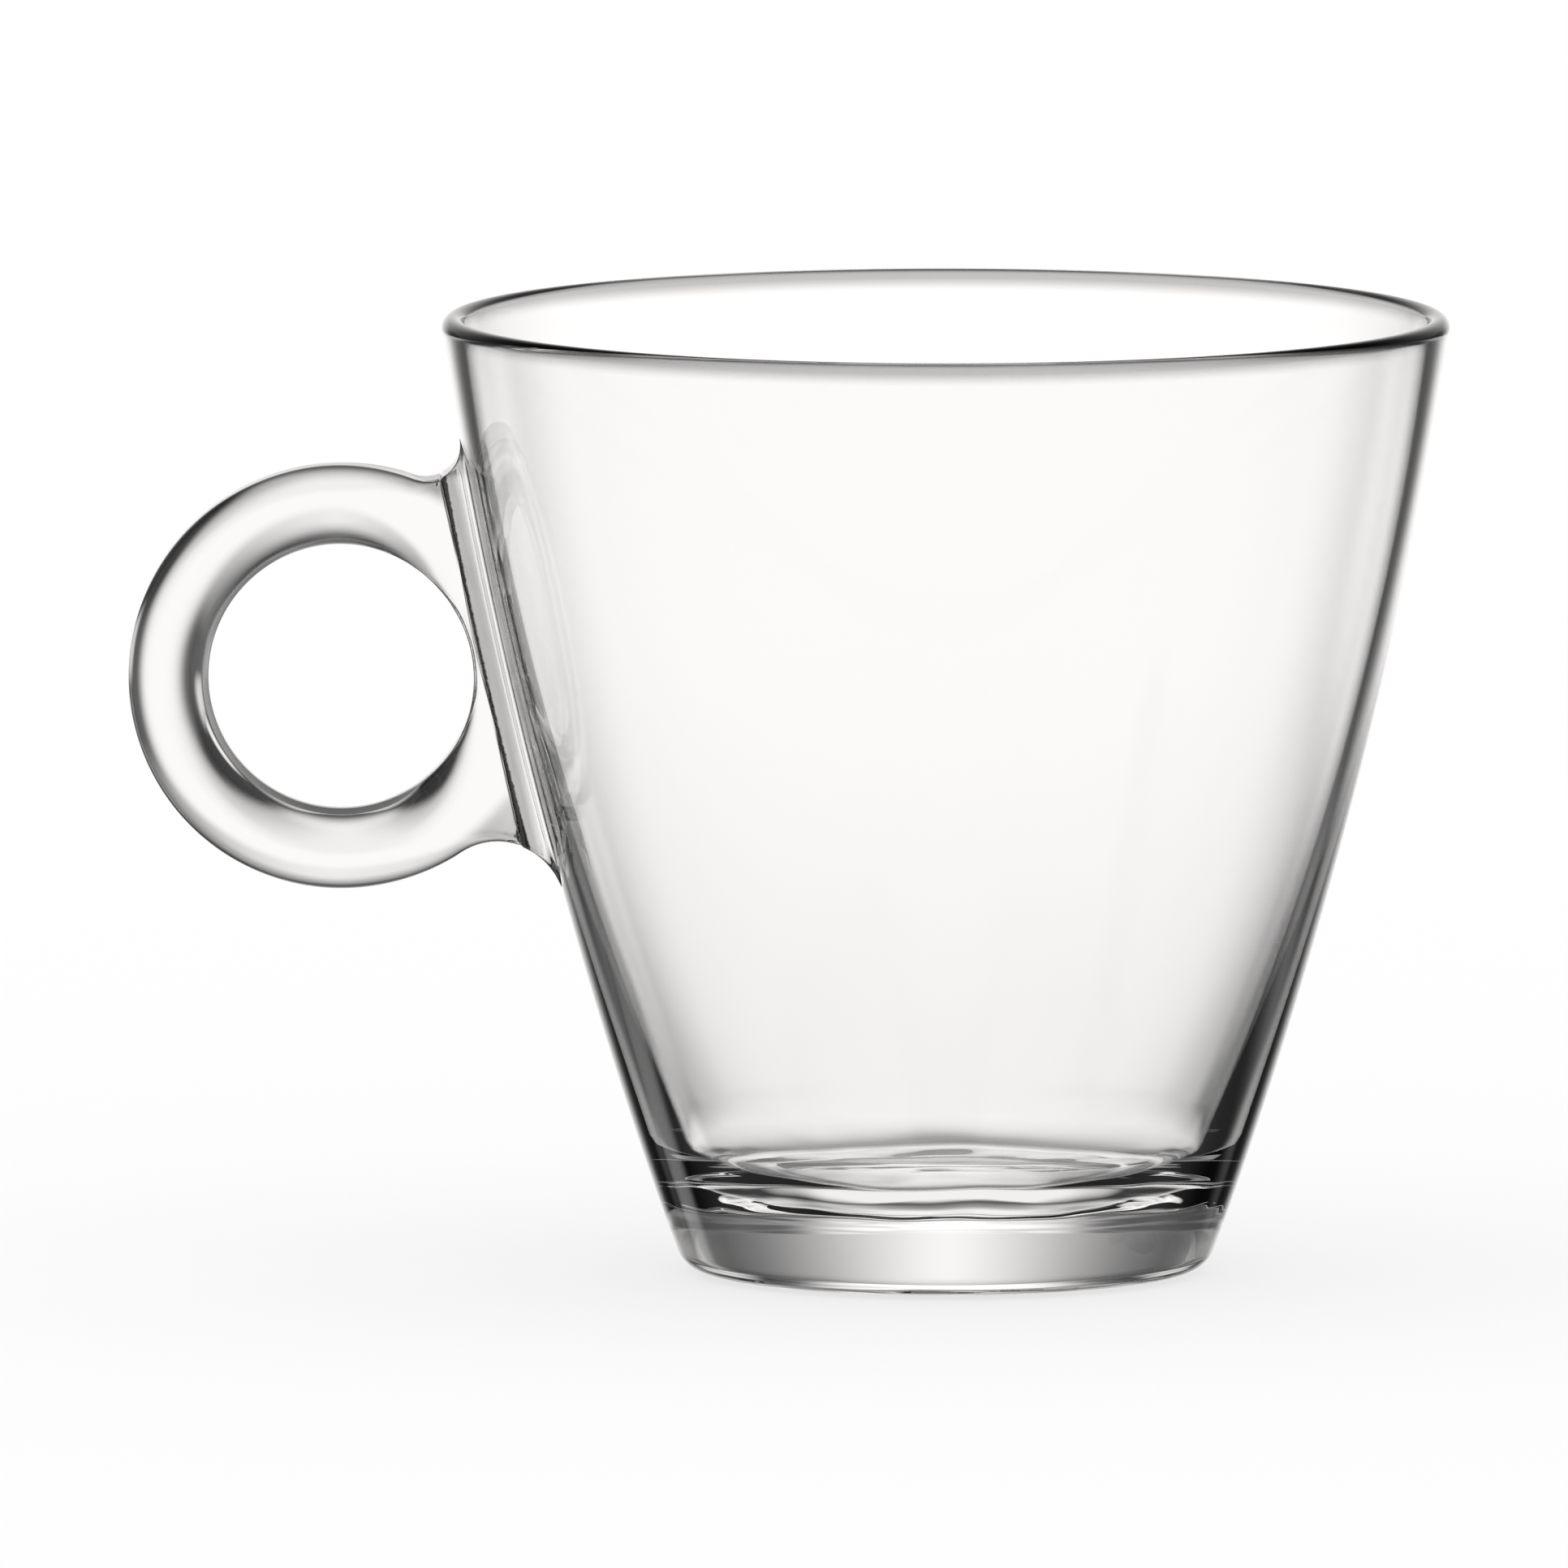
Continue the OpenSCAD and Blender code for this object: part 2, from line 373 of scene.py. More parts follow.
# The inside arc and the corner each share a point with the stretch before them.
inside_count = OUTLINE_POINTS["wall"] + OUTLINE_POINTS["corner"] + OUTLINE_POINTS["floor"] - 2
ripple_share = np.zeros(len(outline))
above_floor = outline[-inside_count:, 1] - FLOOR_HEIGHT
ripple_share[-inside_count:] = np.clip(1 - above_floor / RIPPLE_REACH, 0, 1)
share_mark = cup_chain.data.attributes.new("ripple share", "FLOAT", "POINT")
share_mark.data.foreach_set("value", ripple_share)

turner = cup_chain.modifiers.new("Turn", "NODES")
turner.node_group = turning
turner[input_name(turning, "Steps around")] = STEPS_AROUND
turner[input_name(turning, "Ripple")] = RIPPLE
turner[input_name(turning, "Glass")] = clear_glass
evaluated = cup_chain.evaluated_get(bpy.context.evaluated_depsgraph_get())
cup_mesh = bpy.data.meshes.new_from_object(evaluated)
bpy.data.objects.remove(cup_chain)
cup_mesh.name = "glass_bowl"
glass_bowl = bpy.data.objects.new("glass_bowl", cup_mesh)
bpy.context.scene.collection.objects.link(glass_bowl)
cup_volume = face_outwards(cup_mesh)
print("cup:", len(cup_mesh.polygons), "faces,", round(cup_volume / CUBIC_MM), "cubic mm of glass")

# %% [markdown]
# ## The ring handle
# The ring is a pressed rod, bent into a circle for one finger. Its section is egg-shaped: full on the
# outside and narrower at the finger hole, where the mould's two halves taper together. Near the wall it
# widens into a root and ends in a flat face, where the weld begins. A curve with a bevel would make the
# ring but not the root. Seen from the centre of the ring, though, the root is still a ring whose outer
# edge moves, so the whole handle can be one grid of sections, without a seam between ring and root.
#
# Places on the handle are given as inward, from the ring's centre towards the wall, upward along the
# wall, and sideways across the handle.

# %% Sizes that drive the handle
FINGER_HOLE = 16.9
ROD_DIAMETER = 5.1
ROD_EDGE = 1.8
ROD_NOSE = 2.1
SEAT_HEIGHT = 40.2
ROOT_WEB = 0.5
UPPER_FILLET = 2.2
LOWER_FILLET = 4.2
WELD_THICKNESS = 1.45
WELD_WIDTH = 5.4
WELD_END = 0.03

hole_radius = FINGER_HOLE / 2
rod_radius = ROD_DIAMETER / 2
slope_length = ROD_DIAMETER - ROD_EDGE
slope_drop = rod_radius - ROD_NOSE / 2
slope_radius = (slope_length**2 + slope_drop**2) / (2 * slope_drop)
ring_outer = hole_radius + ROD_DIAMETER
seam_inward = hole_radius + ROOT_WEB
wall_inward = seam_inward + WELD_THICKNESS
seat = np.array([reach(wall_centre, wall_radius, SEAT_HEIGHT), SEAT_HEIGHT])
seat_outward = (seat - wall_centre) / wall_radius
tilt = math.asin(-seat_outward[1])
ring_centre = seat + wall_inward * seat_outward


def handle_to_world(inward, upward, sideways):
    """Places on the handle in the frame of the whole glass, in millimetres."""
    x = -ring_centre[0] + inward * math.cos(tilt) - upward * math.sin(tilt)
    z = ring_centre[1] + inward * math.sin(tilt) + upward * math.cos(tilt)
    return np.stack([x, sideways, z], axis=-1)


def fillet_centre(fillet, side):
    """Centre of the hollow curve between the ring and the wall, above (1) or below (-1)."""
    from_ring = ring_outer + fillet
    from_wall = wall_radius + WELD_END + fillet
    between = wall_inward + wall_radius
    inward = (between**2 + from_ring**2 - from_wall**2) / (2 * between)
    return np.array([inward, side * math.sqrt(from_ring**2 - inward**2)])


upper_centre = fillet_centre(UPPER_FILLET, 1)
lower_centre = fillet_centre(LOWER_FILLET, -1)
print("ring centre in mm:", np.round(ring_centre, 2), "tilt", round(math.degrees(tilt), 1))

# %% Outer edge of the ring and its root
EDGE_SOFTNESS = 0.2
FAR_AWAY = 99.0
LEAST_COSINE = 0.05


def fillet_hit(angle, centre, fillet):
    """How far a line from the ring's centre runs before it meets a hollow curve, or a long way."""
    along = centre[0] * np.cos(angle) + centre[1] * np.sin(angle)
    under_root = along**2 - (centre @ centre - fillet**2)
    return np.where(under_root > 0, along - np.sqrt(np.maximum(under_root, 0)), FAR_AWAY)


def soft_least(one, other, softness):
    """The smaller of two lengths, with the corner between them rounded off."""
    mix = np.clip(0.5 + 0.5 * (other - one) / softness, 0, 1)
    return other * (1 - mix) + one * mix - softness * mix * (1 - mix)


def seam_angle(centre, fillet, side):
    """Angle at which the hollow curve above (1) or below (-1) meets the seam."""
    half_chord = math.sqrt(fillet**2 - (seam_inward - centre[0]) ** 2)
    return math.atan2(centre[1] - side * half_chord, seam_inward)


upper_angle = math.atan2(upper_centre[1], upper_centre[0])
lower_angle = math.atan2(lower_centre[1], lower_centre[0])
upper_seam = seam_angle(upper_centre, UPPER_FILLET, 1)
lower_seam = seam_angle(lower_centre, LOWER_FILLET, -1)


def outer_edge(angle):
    """Distance of the outer edge from the ring's centre at an angle between -pi and pi."""
    in_root = (angle > lower_angle) & (angle < upper_angle)
    to_seam = seam_inward / np.maximum(np.cos(angle), LEAST_COSINE)
    to_upper = fillet_hit(angle, upper_centre, UPPER_FILLET)
    to_lower = fillet_hit(angle, lower_centre, LOWER_FILLET)
    to_curve = np.minimum(to_upper, to_lower)
    return np.where(in_root, soft_least(to_seam, to_curve, EDGE_SOFTNESS), ring_outer)


seam_reach = [round(math.degrees(angle), 1) for angle in (lower_seam, upper_seam)]
print("the seam reaches over these angles, in degrees:", seam_reach)

# %% Width of the handle
ROOT_EDGE = 0.9
NOSE_ROUNDING = 0.7
WEB_SHARE = 0.08
SLOPE_NARROWS = (math.radians(5), math.radians(85))
SEAM_EDGE = 0.22
FLATTENING = math.radians(26)

root_start = lower_angle - FLATTENING
root_end = upper_angle + FLATTENING


def smooth_step(value):
    """Goes softly from 0 to 1 while value does."""
    value = np.clip(value, 0, 1)
    return value * value * (3 - 2 * value)


def quarter_round(past, rounding):
    """How far a rounding of a given radius has fallen at a distance past its start."""
    return rounding - np.sqrt(np.maximum(rounding**2 - past**2, 0))


def half_width(distance, angle, edge):
    """Half the handle's width at a distance from the ring's centre."""
    from_above = smooth_step((angle - root_end) / (upper_seam - root_end))
    from_below = smooth_step((angle - root_start) / (lower_seam - root_start))
    rootness = np.minimum(from_above, from_below)
    at_seam = (angle < upper_seam) & (angle > lower_seam)
    rounding = np.where(at_seam, SEAM_EDGE, ROD_EDGE + (ROOT_EDGE - ROD_EDGE) * rootness)
    away = (np.abs(angle) - SLOPE_NARROWS[0]) / (SLOPE_NARROWS[1] - SLOPE_NARROWS[0])
    share = WEB_SHARE + (1 - WEB_SHARE) * smooth_step(away)
    slope = slope_length * share
    down_slope = np.clip(hole_radius + slope - distance, 0, slope)
    nose = NOSE_ROUNDING * share
    before_nose = np.clip(hole_radius + nose - distance, 0, nose)
    past_edge = np.clip(distance - (edge - rounding), 0, rounding)
    fallen = quarter_round(down_slope, slope_radius * share) + quarter_round(before_nose, nose)
    return rod_radius - fallen - quarter_round(past_edge, rounding)


middle_of_rod = np.array([hole_radius + rod_radius])
rod_width = 2 * half_width(middle_of_rod, np.array([math.pi]), np.array([ring_outer]))[0]
print("width in the middle of the rod:", round(rod_width, 2), "mm")

# %% Sections of the handle
ROD_STEPS = 240
ROOT_STEPS = 260
SECTION_STEPS = 96
LONGEST_REACH = 1.6
HALVINGS = 40
FULL_TURN = 2 * math.pi


def section_points(angle):
    """Distance and sideways place of each section's points, found by halving along lines outwards."""
    edge = outer_edge(angle)[:, None]
    turn = np.linspace(0, FULL_TURN, SECTION_STEPS, endpoint=False)[None, :]
    middle = (hole_radius + edge) / 2
    step_outwards = (edge - hole_radius) / 2 * np.cos(turn)
    step_sideways = rod_radius * np.sin(turn)
    near = np.zeros_like(step_outwards)
    far = np.full_like(step_outwards, LONGEST_REACH)
    for _ in range(HALVINGS):
        tried = (near + far) / 2
        distance = middle + tried * step_outwards
        between = (distance > hole_radius) & (distance < edge)
        narrow = np.abs(tried * step_sideways) < half_width(distance, angle[:, None], edge)
        inside = between & narrow
        near = np.where(inside, tried, near)
        far = np.where(inside, far, tried)
    return middle + near * step_outwards, near * step_sideways


rod_angles = np.linspace(root_end, root_start + FULL_TURN, ROD_STEPS, endpoint=False)
root_angles = np.linspace(root_start, root_end, ROOT_STEPS, endpoint=False)
angles = np.concatenate([root_angles, rod_angles])
angles = np.where(angles > math.pi, angles - FULL_TURN, angles)
distances, across = section_points(angles)
ring_inward = distances * np.cos(angles)[:, None]
ring_upward = distances * np.sin(angles)[:, None]
ring_points = handle_to_world(ring_inward, ring_upward, across)
print("handle sections:", ring_points.shape)


# %% Make the ring
def loop_grid_faces(rows, columns, close_rows):
    """Quads of a grid whose columns close on themselves, and whose rows may."""
    faces = []
    for row in range(rows if close_rows else rows - 1):
        here = row * columns
        there = (row + 1) % rows * columns
        for column in range(columns):
            after = (column + 1) % columns
            faces.append((here + column, here + after, there + after, there + column))
    return faces


def finish_piece(piece, material):
    """Smooth shading, faces outwards and one material."""
    piece.data.materials.append(material)
    piece.data.polygons.foreach_set("use_smooth", [True] * len(piece.data.polygons))
    return face_outwards(piece.data)


ring_faces = loop_grid_faces(len(angles), SECTION_STEPS, True)
glass_ring = plain_mesh(ring_points.reshape(-1, 3) * MM, [], ring_faces, "glass_ring")
ring_volume = finish_piece(glass_ring, ring_glass)
print("ring:", len(ring_faces), "faces,", round(ring_volume / CUBIC_MM), "cubic mm of glass")

# %% [markdown]
# ## The weld
# The ring is pressed onto the cup while both are soft, and the pad of glass between the ring's flat root
# and the round wall is the weld. It follows the wall on one side and the root on the other, and runs out
# in two hollow curves. It could be cut out of a block with the cup, but a cut leaves ragged edges on
# such thin ends. A stack of rounded sections, one for each height, keeps them clean.

# %% Curves of the weld
FUSED_DEPTH = 0.04
WALL_TRIES = 30
LEAST_HALF_WIDTH = 0.2


def wall_place(upward, sideways):
    """How far inward the surface of the wall lies, found by stepping towards it."""
    inward = np.full(np.broadcast(upward, sideways).shape, wall_inward)
    for _ in range(WALL_TRIES):
        place = handle_to_world(inward, upward, sideways + 0 * inward)
        from_axis = np.hypot(place[..., 0], sideways)
        inward = inward + from_axis - reach(wall_centre, wall_radius, place[..., 2])
    return inward


def fillet_end(centre, fillet):
    """Height along the wall where a hollow curve ends."""
    to_wall = np.array([wall_inward + wall_radius, 0.0]) - centre
    return (centre + fillet * to_wall / np.linalg.norm(to_wall))[1]


def weld_front(upward):
    """Where the weld begins, towards the ring, at a height along the wall."""
    front = seam_inward - FUSED_DEPTH
    for centre, fillet in ((upper_centre, UPPER_FILLET), (lower_centre, LOWER_FILLET)):
        half_chord = math.sqrt(max(fillet**2 - (upward - centre[1]) ** 2, 0.0))
        front = max(front, centre[0] + half_chord if half_chord > 0 else seam_inward)
    return front


def strip_width(upward, bottom, top):
    """Half the width of the weld at a height: a strip with round ends."""
    half = WELD_WIDTH / 2
    past_end = max(bottom + half - upward, upward - (top - half), 0.0)
    return math.sqrt(max(half**2 - past_end**2, LEAST_HALF_WIDTH**2))


weld_bottom = fillet_end(lower_centre, LOWER_FILLET)
weld_top = fillet_end(upper_centre, UPPER_FILLET)
print("weld: from", round(weld_bottom, 2), "to", round(weld_top, 2), "mm along the wall")

# %% Sections of the weld
FLARE = 0.12
WELD_ROWS = 160
WELD_EDGE = 0.25
ROUNDING_SHARE = 0.45
CORNER_STEPS = 6
THICK_STEPS = 8
WIDE_STEPS = 20
END_ANGLE = 0.05


def rounded_loop(thick, wide, edge):
    """Points around a rectangle with rounded corners: through its thickness and across its width."""
    corners = [(thick - edge, 1), (edge, 1), (edge, -1), (thick - edge, -1)]
    loop = []
    for quarter, (through_centre, side) in enumerate(corners):
        across_centre = side * (wide - edge)
        for turn in np.linspace(quarter, quarter + 1, CORNER_STEPS) * QUARTER:
            through_place = through_centre + edge * math.cos(turn)
            loop.append((through_place, across_centre + edge * math.sin(turn)))
    return np.array(loop)


def with_steps(loop):
    """Adds points along the straight sides of a rounded loop."""
    filled = []
    for corner in range(len(loop) // CORNER_STEPS):
        end = (corner + 1) * CORNER_STEPS
        filled.extend(loop[corner * CORNER_STEPS:end])
        last = loop[end - 1]
        following = loop[end % len(loop)]
        count = THICK_STEPS if corner % 2 == 0 else WIDE_STEPS
        for share in np.linspace(0, 1, count + 2)[1:-1]:
            filled.append(last + share * (following - last))
    return np.array(filled)


def weld_section(upward):
    """One section of the weld at a height along the wall."""
    front = weld_front(upward)
    thick = float(wall_place(upward, np.zeros(1))[0]) + FUSED_DEPTH - front
    half = strip_width(upward, weld_bottom, weld_top)
    rounding = min(WELD_EDGE, ROUNDING_SHARE * thick, ROUNDING_SHARE * half)
    loop = with_steps(rounded_loop(thick, half, rounding))
    through = loop[:, 0] / thick
    sideways = loop[:, 1] * (1 - FLARE + FLARE * through**2)
    back = wall_place(upward, sideways) + FUSED_DEPTH
    inward = front + through * (back - front)
    return handle_to_world(inward, np.full(len(inward), upward), sideways)


# Rows lie closest at the two thin ends.
row_turns = np.linspace(END_ANGLE, math.pi - END_ANGLE, WELD_ROWS)
row_shares = 0.5 - 0.5 * np.cos(row_turns)
row_heights = weld_bottom + (weld_top - weld_bottom) * row_shares
weld_points = np.array([weld_section(upward) for upward in row_heights])
print("weld sections:", weld_points.shape)

# %% Make the weld
columns = weld_points.shape[1]
weld_faces = loop_grid_faces(WELD_ROWS, columns, False)
ends = np.array([weld_points[0].mean(axis=0), weld_points[-1].mean(axis=0)])
bottom_end = WELD_ROWS * columns
top_end = bottom_end + 1
last_row = (WELD_ROWS - 1) * columns
for column in range(columns):
    after = (column + 1) % columns
    weld_faces.append((bottom_end, after, column))
    weld_faces.append((top_end, last_row + column, last_row + after))
all_points = np.concatenate([weld_points.reshape(-1, 3), ends]) * MM
glass_weld = plain_mesh(all_points, [], weld_faces, "glass_weld")
weld_volume = finish_piece(glass_weld, weld_glass)
print("weld:", len(weld_faces), "faces,", round(weld_volume / CUBIC_MM), "cubic mm of glass")

# %% [markdown]
# ## The painted shade of the lip
# The lip is melted round in a flame. Light that enters its half circle runs on inside the wall, so the
# lip looks grey against white. More glass in the light's way could be shaded by absorption, but that
# would need a volume. So the grey is painted shade: a tone that grows softly darker over the top 1.5 mm.

# %% Painted shade of the lip
LIP_TONE = 0.52
LIP_SHADING = (CUP_HEIGHT - 1.5, CUP_HEIGHT - 0.5)


def set_tone(material, grey, blue):
    """Feeds a grey, and its own amount of blue, into a material's base colour."""
    colour = grey.node("ShaderNodeCombineColor", {}, grey, grey, blue)
    shader = material.node_tree.nodes["Principled BSDF"]
    material.node_tree.links.new(colour.socket, shader.inputs["Base Color"])


height_in_mm = place_parts(clear_glass.node_tree, "Object")[2] / MM
# Painted shade: the lip's colour grows darker with height, for the grey that light lost inside the lip
# gives.
lip_painted_shade = height_in_mm.soft_step(*LIP_SHADING, THIN_TONE, LIP_TONE)
set_tone(clear_glass, lip_painted_shade, lip_painted_shade)
print("lip: from", THIN_TONE, "to", LIP_TONE, "over", LIP_SHADING, "mm of height")

# %% [markdown]
# ## The painted shade of the ring
# A thick rod of glass has dark borders, because light at its edges is thrown far aside. Most of that
# comes from the shape by itself. At the top and bottom of the ring the photograph's lines are darker
# still, so the outermost millimetre gets painted shade there, and the innermost half millimetre a
# lighter painted shade all around. A painted line would be simpler, but a soft step has no edge of its
# own and holds from every side.

# %% Painted shade at the edges of the ring
OUTER_EDGE_SHADE = 0.12
HOLE_EDGE_SHADE = 0.7
OUTER_EDGE_WIDTH = 1.0 * MM
HOLE_EDGE_WIDTH = 0.45 * MM


def from_ring_centre(material):
    """Places on a material as X and Z from the ring's centre, and Y."""
    x, y, z = place_parts(material.node_tree, "Object")
    return x + ring_centre[0] * MM, y, z - ring_centre[1] * MM


from_x, _, from_z = from_ring_centre(ring_glass)
from_centre = from_x.math("SQRT", from_x * from_x + from_z * from_z)
outside = (from_centre - ring_outer * MM) / OUTER_EDGE_WIDTH + 1.0
at_hole = 1.0 - (from_centre - hole_radius * MM) / HOLE_EDGE_WIDTH
upright = from_z * from_z / (from_centre * from_centre)
edge_share = outside.soft_step(0.0, 1.0, 0.0, 1.0)
# Painted shade: darker towards the outer edge at the top and bottom of the ring, and around the finger
# hole.
outer_shade = 1.0 - (1.0 - OUTER_EDGE_SHADE) * upright * edge_share
hole_shade = at_hole.soft_step(0.0, 1.0, 1.0, HOLE_EDGE_SHADE)
ring_tone = THICK_TONE * outer_shade * hole_shade
set_tone(ring_glass, ring_tone, ring_tone)
print("ring: tones", OUTER_EDGE_SHADE, "outside and", HOLE_EDGE_SHADE, "at the hole")

# %% [markdown]
# ## The painted shade of the weld
# Where the two hot pieces met, the glass was pulled into fine streaks along the wall, and a dark, ragged
# seam line stays at the ring's root. Real streaks are folds in the surface, but folds this fine would
# need a very dense mesh. Noise that is stretched along the wall paints their shade instead, as grey
# streaks. This painted shade and the seam lie on the two sides of the pad, and its middle and its edge
# at the wall stay clear.

# %% Painted shade of the streaks, and the seam of the weld
WELD_SHADE_GREY = (0.40, 0.50)
STREAKS_ACROSS = 9000.0
STREAKS_ALONG = 350.0
STREAK_RANGE = (0.3, 0.7)
# Scale, detail and roughness
STREAK_NOISE = (1.0, 2.0, 0.6)
SEAM_WIDTH = 0.16 * MM
SEAM_WIDENING = 0.34 * MM
SEAM_RAGGED = 0.26 * MM
SEAM_FINENESS = 2500.0
SEAM_SOFTNESS = 0.05 * MM
SEAM_TONE = 0.01
CLEARING = ((seam_inward + 0.75) * MM, (wall_inward + 0.05) * MM)
CLEAR_TONE = 0.92
WELD_SIDE = (0.22 * WELD_WIDTH * MM, 0.38 * WELD_WIDTH * MM)
WELD_BLUE = 0.985
WELD_ROUGHNESS = 0.04

from_x, sideways, from_z = from_ring_centre(weld_glass)
inward = from_x * math.cos(tilt) + from_z * math.sin(tilt)
upward = from_z * math.cos(tilt) - from_x * math.sin(tilt)
stretched = (inward * STREAKS_ACROSS, upward * STREAKS_ALONG, 0.0)
streak_place = inward.node("ShaderNodeCombineXYZ", {}, *stretched)
streaks = inward.node("ShaderNodeTexNoise", {}, streak_place, *STREAK_NOISE)
# Painted shade: grey streaks along the wall stand in for light bent aside by fine folds.
grey = inward.node("ShaderNodeMapRange", {}, streaks, *STREAK_RANGE, *WELD_SHADE_GREY)

ragged_place = inward.node("ShaderNodeCombineXYZ", {}, upward * SEAM_FINENESS, 0.0, 0.0)
ragged = inward.node("ShaderNodeTexNoise", {}, ragged_place, *STREAK_NOISE)
from_middle = inward.math("ABSOLUTE", upward) / (ring_outer * MM)
widened = SEAM_WIDTH + SEAM_WIDENING * from_middle * from_middle
seam_wide = widened + SEAM_RAGGED * (ragged - NOISE_MIDDLE)
past_seam = (inward - seam_inward * MM - seam_wide) / SEAM_SOFTNESS
seam_shade = past_seam.soft_step(-1.0, 1.0, SEAM_TONE, 1.0)

clearing = inward.soft_step(*CLEARING, 0.0, 1.0)
# Painted shade on the sides of the pad, fading out towards the wall, with the dark seam line on top.
painted_side_shade = (grey + (CLEAR_TONE - grey) * clearing) * seam_shade
side_share = inward.math("ABSOLUTE", sideways).soft_step(*WELD_SIDE, 0.0, 1.0)
weld_tone = CLEAR_TONE + (painted_side_shade - CLEAR_TONE) * side_share
set_tone(weld_glass, weld_tone, weld_tone * WELD_BLUE)
weld_shader = weld_glass.node_tree.nodes["Principled BSDF"]
weld_shader.inputs["Roughness"].default_value = WELD_ROUGHNESS
print("weld: grey", WELD_SHADE_GREY, "on its sides, clear tone", CLEAR_TONE, "elsewhere")

# %% [markdown]
# ## The floor
# The glass stands on a white table that melts into a white background. A very large floor would show a
# horizon, so this one is a disc whose paint fades away towards its rim. Part of its white is light of
# its own, which keeps the shadow of the glass faint. The glass doesn't show the floor: what it shows
# below comes from the surroundings, where it can be tuned.

# %% Floor
FLOOR_RADIUS = 0.6
FLOOR_SIDES = 96
FLOOR_CLEAR = 0.0002
FLOOR_WHITE = 0.72
FLOOR_FADE = (0.12, 0.5)
PAINT_COLOUR = (0.98, 0.98, 0.98, 1.0)
WHITE = (1.0, 1.0, 1.0, 1.0)

floor_place = (0, 0, -FLOOR_CLEAR)
bpy.ops.mesh.primitive_circle_add(
    vertices=FLOOR_SIDES, radius=FLOOR_RADIUS, fill_type="NGON", location=floor_place)
floor = bpy.context.object
floor.name = "floor"
floor.visible_transmission = False
floor.visible_glossy = False
floor_paint = bpy.data.materials.new("floor_paint")
floor_paint.use_nodes = True
tree = floor_paint.node_tree
tree.nodes.clear()
x, y, z = place_parts(tree, "Object")
from_glass = x.math("SQRT", x * x + y * y + z * z)
fade = from_glass.soft_step(*FLOOR_FADE, 0.0, 1.0)
paint = x.node("ShaderNodeBsdfDiffuse", {}, PAINT_COLOUR)
clear = x.node("ShaderNodeBsdfTransparent", {}, WHITE)
white = x.node("ShaderNodeEmission", {}, WHITE, 1.0)
pale = x.node("ShaderNodeMixShader", {}, FLOOR_WHITE, paint, white)
mixed = x.node("ShaderNodeMixShader", {}, fade, pale, clear)
out = tree.nodes.new("ShaderNodeOutputMaterial")
tree.links.new(mixed.socket, out.inputs["Surface"])
floor.data.materials.append(floor_paint)
print("floor: radius", FLOOR_RADIUS, "m, fading out over", FLOOR_FADE, "m")

# %% [markdown]
# ## The surroundings
# In a studio a glass stands before a bright panel with dark space beside it. The edges of the glass bend
# the dark space into view, which draws them as dark lines. Here that studio is written into the world's
# colour, because lamps and cards would also show in the floor and in other views. Four bright panels
# stand in front, behind and on both sides, with dark gaps on the diagonals. So every side has a panel
# behind it. Smaller panels on the diagonals do the same for a camera that looks in from a corner.
#
# The background itself is plain white for the camera. Only what is seen through or in the glass comes
# from the panels, with a faint warm tint, and everything else gets plain light.


# %% Shapes in the surroundings
def ramp(value, start, end, low, high):
    """Goes softly from low to high while an angle goes from start to end, in degrees."""
    return value.soft_step(math.radians(start), math.radians(end), low, high)


def bell(angle, spread, power, lowest):
    """One in the middle of a panel, falling to lowest outside it. A higher power has a crisper edge."""
    share = angle.math("POWER", angle / math.radians(spread), power)
    return lowest + (1.0 - lowest) * angle.math("EXPONENT", share * -1.0)


def corner_panel(level, width, middle, tallness):
    """A panel on each diagonal, by its level and then its half width, middle and half height."""
    across = bell(from_corner, width, CRISP_EDGE, 0.0)
    from_level = rise.math("ABSOLUTE", rise - math.radians(middle))
    return level * across * bell(from_level, tallness, CRISP_EDGE, 0.0)


CRISP_EDGE = 4.0
world = bpy.data.worlds.new("studio")
bpy.context.scene.world = world
world.use_nodes = True
tree = world.node_tree
tree.nodes.clear()
way_x, way_y, way_z = place_parts(tree, "Generated")
side_x = way_x.math("ABSOLUTE", way_x)
side_y = way_x.math("ABSOLUTE", way_y)
least = way_x.math("MINIMUM", side_x, side_y)
most = way_x.math("MAXIMUM", side_x, side_y)
from_panel = way_x.math("ARCTAN2", least, most)
from_corner = math.pi / 4 - from_panel
rise = way_x.math("ARCSINE", way_z)
print("surroundings: angles from the nearest panel, from the nearest diagonal and above the table")

# %% [markdown]
# ## The panels
# Each part of the glass sees its own heights of the panels. The wall of the cup looks out just below the
# horizon. There the panel is dimmer further down and to its sides, and the wall gets the soft grey
# gradient of the photograph. The base and the ring look lower and higher. The panels could be drawn as
# a picture instead, but soft steps in two angles stay smooth and say what each of them is for.

# %% Panels, diagonals and table
# Soft steps: two angles in degrees, then the level at each of them
NARROWER_BELOW = (-20, -13, 0.25, 0.0)
NARROWER_ABOVE = (-42, -30, 0.0, 1.0)
BESIDE_LOW_PANEL = (-19, -12, 0.03, 0.08)
DIM_ABOVE = (-38, -26, 0.0, 1.0)
DIM_MIDDLE = (-12, -6, 0.09, 0.0)
DIM_SIDES = (-16, -10, 0.25, 0.0)
DIM_SIDEWAYS = (0, 10, 0.0, 1.0)
LOW_PANEL_FADE = (-58, -26, 0.1, 1.0)
HIGH_PANEL_FADE = (14, 36, 1.0, 0.15)
LOW_TO_HIGH = (1, 9, 0.0, 1.0)
TABLE_FADE = (-76, -56, 0.95, 0.0)
TABLE_RISES = (9, 24, 0.0, math.radians(15))
# Half width in degrees and power of the edge
LOW_PANEL_SHAPE = (19.0, 5.0)
HIGH_PANEL_SHAPE = (21.0, 1.6)
BESIDE_HIGH_PANEL = 0.08
LOW_PANEL_LEVEL = 1.125
# Level, half width, middle and half height
EVERY_CORNER = (0.85, 11.0, -12.0, 6.5)
BACK_LEFT = (1.14, 6.5, -27.0, 11.0)
FRONT_RIGHT = (1.14, 12.0, -13.0, 14.0)

